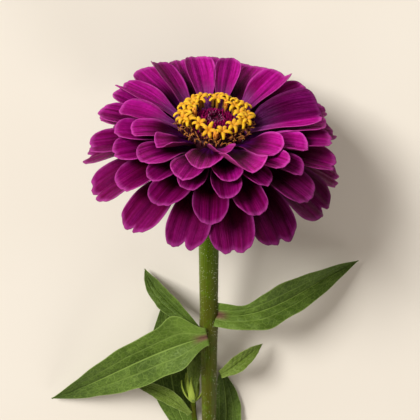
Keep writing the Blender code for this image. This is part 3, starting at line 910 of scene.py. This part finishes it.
leafThick = 0.5 * mm
leaves = (
    dict(name="leaf_left", width=18.4, fold=20, twist=(18, 0), base=0.36, widest=0.18,
         line=((-2.6, -89.2, 25.0), (-28, -95, 28), (-47, -116, 10), (-69.6, -125.6, 3.2))),
    dict(name="leaf_right", width=12.4, fold=24, twist=(-18, -6), base=0.78, widest=0.36,
         line=((1.0, -81.0, 21.6), (22, -83.4, 27), (40, -69.5, 13), (59.8, -63.4, 5.0))),
    dict(name="leaf_back_left", width=8.0, fold=30, twist=(0, 0), base=0.5, widest=0.5,
         line=((-7.3, -88.6, 18.0), (-14, -80, 18), (-24.6, -77, 9), (-28.8, -67.6, 2.5))),
    dict(name="leaf_low_left", width=17.4, fold=5, twist=(0, 0), base=0.30, widest=0.58,
         line=((-6.5, -144.0, 4.4), (-19, -137, 0.9), (-18.4, -110, 0.9), (-21.4, -82.6, 1.0))),
    dict(name="leaf_low_right", width=13.0, fold=6, twist=(0, 0), base=0.34, widest=0.42,
         line=((2.4, -145.0, 5.0), (7, -139, 1.0), (5.6, -126, 1.0), (3.2, -112.6, 1.2))),
    dict(name="shoot_leaf_right", width=6.8, fold=24, twist=(-12, 0), base=0.5, widest=0.38,
         line=((2.9, -109.6, 14.4), (8.4, -106.0, 17.0), (14.4, -101.4, 12.6), (20.4, -98.6, 8.6))),
    dict(name="shoot_leaf_left", width=6.2, fold=16, twist=(10, 0), base=0.4, widest=0.38,
         line=((-10.2, -131.0, 7.2), (-17, -121, 11), (-26, -118, 8.5), (-36.0, -118.6, 2.8))),
    dict(name="shoot_leaf_inner", width=6.6, fold=8, twist=(0, 0), base=0.2, widest=0.62,
         line=((-8.6, -124.6, 8.4), (-8.4, -114, 11), (-8, -103, 12), (-7.6, -93.0, 12.6))),
)

# where one half of a leaf is broader or slimmer: how much, where, over what share, which side
leafFlares = {
    "leaf_left": ((0.62, 0.10, 0.075, -1), (0.08, 0.45, 0.15, 1)),
    "leaf_right": ((0.22, 0.30, 0.10, -1), (-0.30, 0.20, 0.10, 1), (0.22, 0.50, 0.16, 1)),
}


def turnedAbout(vectors, axis, angle):
    # Rodrigues' turn of arrays of vectors
    c, s = np.cos(angle)[..., None], np.sin(angle)[..., None]
    dot = np.sum(vectors * axis, axis=-1, keepdims=True)
    return vectors * c + np.cross(axis, vectors) * s + axis * dot * (1.0 - c)


def leafSurface(leaf):
    draw = random.Random(leaf["name"])
    phases = [draw.uniform(0.0, 6.28) for _ in range(3)]
    width, fold = leaf["width"] * mm, math.tan(math.radians(leaf["fold"]))
    firstTwist, lastTwist = leaf["twist"]
    flares = leafFlares.get(leaf["name"], ())

    def surface(t, v):
        point, along = bezier(leaf["line"], t)
        side = unit(np.cross(np.array((0.0, 0.0, 1.0)), along))
        side = turnedAbout(side, along, np.radians(firstTwist + (lastTwist - firstTwist) * t))
        upper = np.cross(along, side)
        fromBase = leaf["base"] + (1 - leaf["base"]) * smooth(t / leaf["widest"])
        pastWidest = np.clip((t - leaf["widest"]) / (1 - leaf["widest"]), 0, 1)
        toTip = np.cos(math.pi / 2 * pastWidest**1.25)
        form = np.maximum(np.where(t < leaf["widest"], fromBase, toTip), 0.03)
        form = form * (1.0 + 0.02 * np.sin(t * 31 + phases[0] + v))
        for amount, where, share, half in flares:
            form = form * (1.0 + amount * bump(t, where, share) * smooth(v * half))
        reach = v * 0.5 * width * form
        away = np.abs(v)
        lift = np.abs(reach) * fold - 0.35 * mm * bump(v, 0.0, 0.07) - 0.2 * mm * bump(away, 0.46, 0.06)
        lift = lift + 0.35 * mm * np.sin(t * 17 + phases[1] + np.sign(v)) * away**2 * form
        lift = lift + 0.10 * mm * np.sin(t * 55 + phases[2] - away * 9.0) * form
        spot = point + side * reach[..., None] + upper * lift[..., None] + belowHead
        spot[..., 2] = aboveFloor(spot[..., 2], leafThick / 2)
        return spot

    return surface


def addLeaves():
    plain = leafMaterial("leaf", leafLook)
    stained = leafMaterial("leaf_with_stain", dict(leafLook, stain=leafStain))
    young = leafMaterial("young_leaf", youngLook)
    for leaf in leaves:
        name = leaf["name"]
        material = stained if name in ("leaf_left", "leaf_right") else plain
        if name.startswith("shoot"):
            material = young
        part = blade(leafSurface(leaf), (110, 40), leafThick)
        addPiece(name + "_blade", part, material, random.Random(name).random(), "leaf", name)
    print("leaves:", len(leaves))


stemForm = dict(
    neckZ=-22.3 * mm,                # below the head's centre, on its axis
    end=(-2.0, -161.0, 3.1),         # mm from the point below the head
    slope=math.radians(13.0),
    topRadius=4.5 * mm,
    endRadius=3.0 * mm,
    slimY=-135.0 * mm,
    swellings=((-86.0 * mm, 0.3 * mm), (-143.0 * mm, 0.5 * mm)),
    hairs=1500,
    hairLength=(0.5 * mm, 1.4 * mm),
    hairWidth=0.06 * mm,
)


def stemCourse(count):
    axis = np.array(headTurn @ Vector((0.0, 0.0, 1.0)))
    neck = np.array(headMatrix @ Vector((0.0, 0.0, stemForm["neckZ"]))) - belowHead
    along = np.array((0.0, math.cos(stemForm["slope"]), math.sin(stemForm["slope"])))
    end = np.array(stemForm["end"]) * mm
    line = [p / mm for p in (neck, neck - axis * 16.0 * mm, end + along * 112.0 * mm, end)]
    points, way = bezier(line, np.linspace(0.0, 1.0, count))
    slim = np.minimum(1.0, points[:, 1] / stemForm["slimY"])
    radii = stemForm["topRadius"] + (stemForm["endRadius"] - stemForm["topRadius"]) * slim
    for place, swelling in stemForm["swellings"]:
        radii = radii + swelling * bump(points[:, 1], place, 4.0 * mm)
    return points + belowHead, radii, way


def stemMaterial():
    material, tree, shader = newMaterial("stem", 0.4, Specular_IOR_Level=0.3, Sheen_Weight=0.03,
                                         Sheen_Tint=(0.8, 1.0, 0.3, 1.0),
                                         Specular_Tint=(0.7, 1.0, 0.15, 1.0))
    marks = bladeMarks(tree)
    ribs = streaks(tree, marks, 40.0, 6.0)
    small = mottle(tree, 1500.0, 4.0, 0.35, 0.7)
    paintedLitSide = calc(tree, "COSINE", times(tree, marks["Across"], 2.0 * math.pi))      # 1 on the left, towards the key light, for painted light and shade
    low = times(tree, ease(tree, marks["Along"], 0.38, 0.72), mottle(tree, 260.0, 3.0, 0.25, 0.55))
    colour = layered(tree, rgb(58, 86, 0),
                     (ribs, 0.6, rgb(30, 46, 0)),
                     (small, 0.4, rgb(92, 116, 14)),
                     # painted light on the left side, towards the key light, and painted shade on the
                     # right
                     (ease(tree, paintedLitSide, 0.0, 1.0), 0.5, rgb(122, 144, 44)),
                     (ease(tree, paintedLitSide, 0.3, -0.9), 0.5, rgb(28, 40, 0)),
                     (low, 0.7, rgb(66, 54, 14)))
    height = calc(tree, "ADD", ribs, times(tree, small, 0.4))
    plug(tree, shader, colour, calc(tree, "MULTIPLY_ADD", small, 0.2, 0.34), height, 0.0002)
    return material


def addStem():
    points, radii, _ = stemCourse(220)

    def ridge(share, angle):
        coarse = 0.014 * np.cos(angle * 9.0 + 2.0 * share)
        return 1.0 + coarse + 0.006 * np.cos(angle * 23.0 + share * 9.0)

    addPiece("stem_body", tubePart(points, radii, 56, ridge), stemMaterial(), 0.4, "stem", "stem")
    print("stem")


def hairMaterial():
    material, tree, shader = newMaterial("hairs", 0.6)
    colour = mixed(tree, mottle(tree, 900.0), rgb(226, 232, 200), rgb(186, 196, 140))
    plug(tree, shader, colour)
    return material


def hairPart(root, way, length, width):
    # a thin three-sided cone
    side = unit(np.cross(way, np.array((0.3, 0.5, 0.8))))
    other = np.cross(way, side)
    ring = [root + (side * math.cos(a) + other * math.sin(a)) * width for a in (0.0, 2.09, 4.19)]
    points = np.array(ring + [root + way * length])
    marks = np.array([[0, 0, 0]] * 3 + [[1, 0, 0]], float)
    return points, [(0, 1, 3), (1, 2, 3), (2, 0, 3), (2, 1, 0)], marks


def addHairs():
    draw = random.Random("hairs")
    points, radii, way = stemCourse(400)
    last = len(points) - 1
    parts = []
    for _ in range(stemForm["hairs"]):
        i = int(last * (1.0 - draw.random() ** 1.3))       # more of them towards the cut end
        side = unit(np.cross(way[i], np.array((0.0, 0.0, 1.0))))
        other = np.cross(side, way[i])
        a = draw.uniform(0.0, 6.283)
        out = side * math.cos(a) + other * math.sin(a)
        slant = way[i] * draw.uniform(-0.5, 0.3)
        stray = np.array([draw.uniform(-0.2, 0.2) for _ in range(3)])
        lean = unit(out + slant + stray)
        root = points[i] + out * radii[i] * 0.98
        length = draw.uniform(*stemForm["hairLength"])
        if root[2] + lean[2] * length > 0.2 * mm:
            parts.append(hairPart(root, lean, length, stemForm["hairWidth"]))
    addPiece("stem_hairs", joinParts(parts), hairMaterial(), 0.5, "stem")
    print("stem hairs:", len(parts))


def bractMaterial():
    material, tree, shader = newMaterial("bracts", 0.6, Specular_IOR_Level=0.15)
    marks = bladeMarks(tree)
    ribs = streaks(tree, marks, 9.0, 1.5)
    colour = mixed(tree, ribs, rgb(86, 118, 40), rgb(62, 92, 26))
    edge = larger(tree, ease(tree, marks["Off Middle"], 0.74, 0.9), ease(tree, marks["Along"], 0.8, 0.93))
    colour = mixed(tree, edge, colour, rgb(48, 8, 22))
    plug(tree, shader, colour, None, ribs, 0.0002, 0.5)
    return material


# the receptacle's profile as (radius, height), and its rows as (bracts, low end, length), mm
involucre = dict(
    profile=((8.8, -0.6), (10.3, -1.1), (10.6, -1.9), (10.6, -13.6), (10.0, -15.6), (8.2, -18.6),
             (5.6, -20.8), (4.4, -22.0)),
    rows=((8, -21.4, 5.6), (10, -19.8, 6.4), (12, -17.6, 6.8), (13, -15.4, 5.6)),
)


def barrelRadius(z):
    radii, heights = zip(*involucre["profile"][::-1])
    return np.interp(z, heights, radii)


def bractSurface(azimuth, low, length, layer, width, flare):
    # a rounded scale that hugs the receptacle from the height low upwards
    def surface(t, v):
        reach = t * (1.0 - 0.30 * np.abs(v) ** 2.2)
        z = low + reach * length
        radius = barrelRadius(z) + layer + 0.35 * t + flare * smooth((t - 0.6) / 0.4)
        half = 0.5 * width * (0.7 + 0.3 * smooth(t / 0.5)) * (1.0 - 0.25 * smooth((t - 0.6) / 0.4))
        angle = azimuth - v * half / np.maximum(radius, 3.0)      # so the upper side faces outwards
        return np.stack([radius * np.cos(angle), radius * np.sin(angle), z], axis=-1)

    return surface


def addReceptacle():
    radii, heights = zip(*involucre["profile"])
    top, bottom = heights[0], heights[-1]
    profile = (np.array((0.0, *radii, 0.0)) * mm, np.array((top, *heights, bottom)) * mm)
    body = placed(turnedPart(profile, 56, 1.0), headMatrix, 1.0)
    axis = np.array(headTurn)[:, 2]
    high = body[0] @ axis - np.dot(np.array(headCentre), axis)
    body[2][:, 0] = np.where(high > -14.0 * mm, 1.0, 0.4)     # painted shade: dark where the petals stand over it
    body[2][:, 1] = 0.4
    parts = [body]
    draw = random.Random("bracts")
    for level, (count, low, length) in enumerate(involucre["rows"]):
        for k in range(count):
            azimuth = 2 * math.pi * (k + 0.5 * (level % 2)) / count + draw.uniform(-0.06, 0.06)
            width = 1.35 * 2 * math.pi * barrelRadius(low + length * 0.6) / count
            surface = bractSurface(azimuth, low, length * draw.uniform(0.93, 1.07), 0.55 - 0.12 * level,
                                   width, 0.3)
            parts.append(placed(blade(surface, (14, 10), 0.3), headMatrix))
    addPiece("bracts", joinParts(parts), bractMaterial(), 0.5, "involucre", "receptacle")
    print("bracts")


shoot = dict(
    line=((-6.5, -141.0, 7.2), (-8.2, -137.0, 6.6), (-8.6, -131.0, 5.9), (-8.8, -126.6, 5.7)),
    radius=1.15 * mm,
    bud=(-8.8, -126.2, 5.7),         # mm from the point below the head
    budLength=16.5,                  # mm, as the next ones
    budRadius=3.5,
    sepals=11,
    sepalWidth=2.9,
    lowest=0.25 * mm,                # above the floor
)
budLook = dict(
    main=rgb(150, 176, 38),
    dark=rgb(84, 112, 16),
    light=rgb(198, 216, 82),
    vein=rgb(214, 226, 124),
    under=rgb(160, 182, 70),
)


def addShoot():
    points, _ = bezier(shoot["line"], np.linspace(0.0, 1.0, 24))
    addPiece("side_shoot_body", tubePart(points + belowHead, np.full(24, shoot["radius"]), 20),
             stemMaterial(), 0.7, "stem", "side_shoot")
    place = Vector(np.array(shoot["bud"]) * mm + belowHead)
    stand = Matrix.Translation(place) @ Matrix.Rotation(math.radians(-88.0), 4, "X")
    length, radius = shoot["budLength"], shoot["budRadius"]
    share = np.linspace(0.0, 1.0, 16)
    core = 0.66 * radius * np.sin(np.pi * np.clip(share * 0.9 + 0.1, 0, 1)) ** 0.7
    core[0] = core[-1] = 0.0
    parts = [placed(turnedPart((core[::-1], 0.72 * length * share[::-1]), 28, 1.0), stand)]
    parts[0][2][:, :2] = 0.4
    draw = random.Random("sepals")
    for k in range(shoot["sepals"]):
        # the outer sepals spread further than the inner ones between them
        base, tip = ((50, 66), (92, 104)) if k % 2 else ((36, 50), (92, 112))
        slopes = (draw.uniform(*base), draw.uniform(*tip))
        sepal = sliver(length * draw.uniform(0.72, 0.98), shoot["sepalWidth"], slopes, 0.32, (22, 10), 0.5,
                       0.35, 0.06)
        turn = Matrix.Rotation(2 * math.pi * k / shoot["sepals"] + draw.uniform(-0.2, 0.2), 4, "Z")
        parts.append(placed(sepal, stand @ turn))
    part = joinParts(parts)
    part[0][:, 2] = np.maximum(part[0][:, 2], shoot["lowest"])
    addPiece("bud_leaves", part, leafMaterial("bud_leaves", budLook), 0.3, "bud", "side_bud")
    print("side shoot")


# floor, light and camera

view = dict(
    tilt=math.radians(14.0),         # from straight down, towards the head's end
    distance=380 * mm,
    lens=90.0,
    aside=1.6 * mm,                  # the head's centre from the middle of the view
    above=30.8 * mm,
)
lamps = dict(
    key=dict(place=(-2.3, 1.8, 2.9), target=(0.0, 0.03, 0.03), size=1.5, power=222.0,
             colour=(1.0, 0.98, 0.95)),
    fill=dict(place=(2.0, -2.4, 1.8), target=(0.0, 0.0, 0.03), size=2.0, power=38.0,
              colour=(1.0, 0.96, 0.92)),
)
studio = dict(
    floorSize=3.0,                   # from its middle to each side
    floor=(rgb(216, 211, 201), rgb(212, 206, 195)),
    wall=rgb(236, 228, 216),
    air=(1.0, 0.88, 0.78, 1.0),
    airStrength=0.36,
)


def addFloor():
    mesh = bpy.data.meshes.new("floor")
    size = studio["floorSize"]
    corners = [(-size, -size, 0), (size, -size, 0), (size, size, 0), (-size, size, 0)]
    mesh.from_pydata(corners, [], [(0, 1, 2, 3)])
    material, tree, shader = newMaterial("floor", 0.95, Specular_IOR_Level=0.1)
    plug(tree, shader, mixed(tree, mottle(tree, 6.0, 2.0), *studio["floor"]))
    mesh.materials.append(material)
    floor = bpy.data.objects.new("floor", mesh)
    bpy.context.scene.collection.objects.link(floor)
    print("floor")


def addLights():
    for name, lamp in lamps.items():
        data = bpy.data.lights.new(name, "AREA")
        data.energy, data.size, data.color = lamp["power"], lamp["size"], lamp["colour"]
        light = bpy.data.objects.new(name, data)
        light.location = lamp["place"]
        aim = Vector(lamp["target"]) - Vector(lamp["place"])
        light.rotation_euler = aim.to_track_quat("-Z", "Y").to_euler()
        bpy.context.scene.collection.objects.link(light)
    print("lights:", len(lamps))


def addWorld():
    # warm even light, with a pale wall behind the floor
    world = bpy.data.worlds.new("studio")
    bpy.context.scene.world = world
    world.use_nodes = True
    tree = world.node_tree
    light = tree.nodes["Background"]
    light.inputs["Color"].default_value = studio["air"]
    light.inputs["Strength"].default_value = studio["airStrength"]
    wall = addNode(tree, "Background", {"Color": studio["wall"], "Strength": 1.0})
    seen = addNode(tree, "LightPath").outputs["Is Camera Ray"]
    both = addNode(tree, "MixShader", {0: seen, 1: light.outputs[0], 2: wall.outputs[0]})
    tree.links.new(both.outputs[0], tree.nodes["World Output"].inputs["Surface"])
    print("world")


def addCamera():
    right = Vector((1.0, 0.0, 0.0))
    up = Vector((0.0, math.cos(view["tilt"]), -math.sin(view["tilt"])))
    look = Vector((0.0, -math.sin(view["tilt"]), -math.cos(view["tilt"])))
    data = bpy.data.cameras.new("camera")
    data.lens = view["lens"]
    camera = bpy.data.objects.new("camera", data)
    place = headCentre - look * view["distance"] - right * view["aside"] - up * view["above"]
    camera.matrix_world = Matrix.Translation(place) @ Matrix((right, up, -look)).transposed().to_4x4()
    bpy.context.scene.collection.objects.link(camera)
    bpy.context.scene.camera = camera
    print("camera")


addPetals()
addFlorets()
addWithered()
addDisc()
addReceptacle()
addStem()
addHairs()
addLeaves()
addShoot()
addFloor()
addLights()
addWorld()
addCamera()
bpy.context.scene.view_settings.view_transform = "Standard"
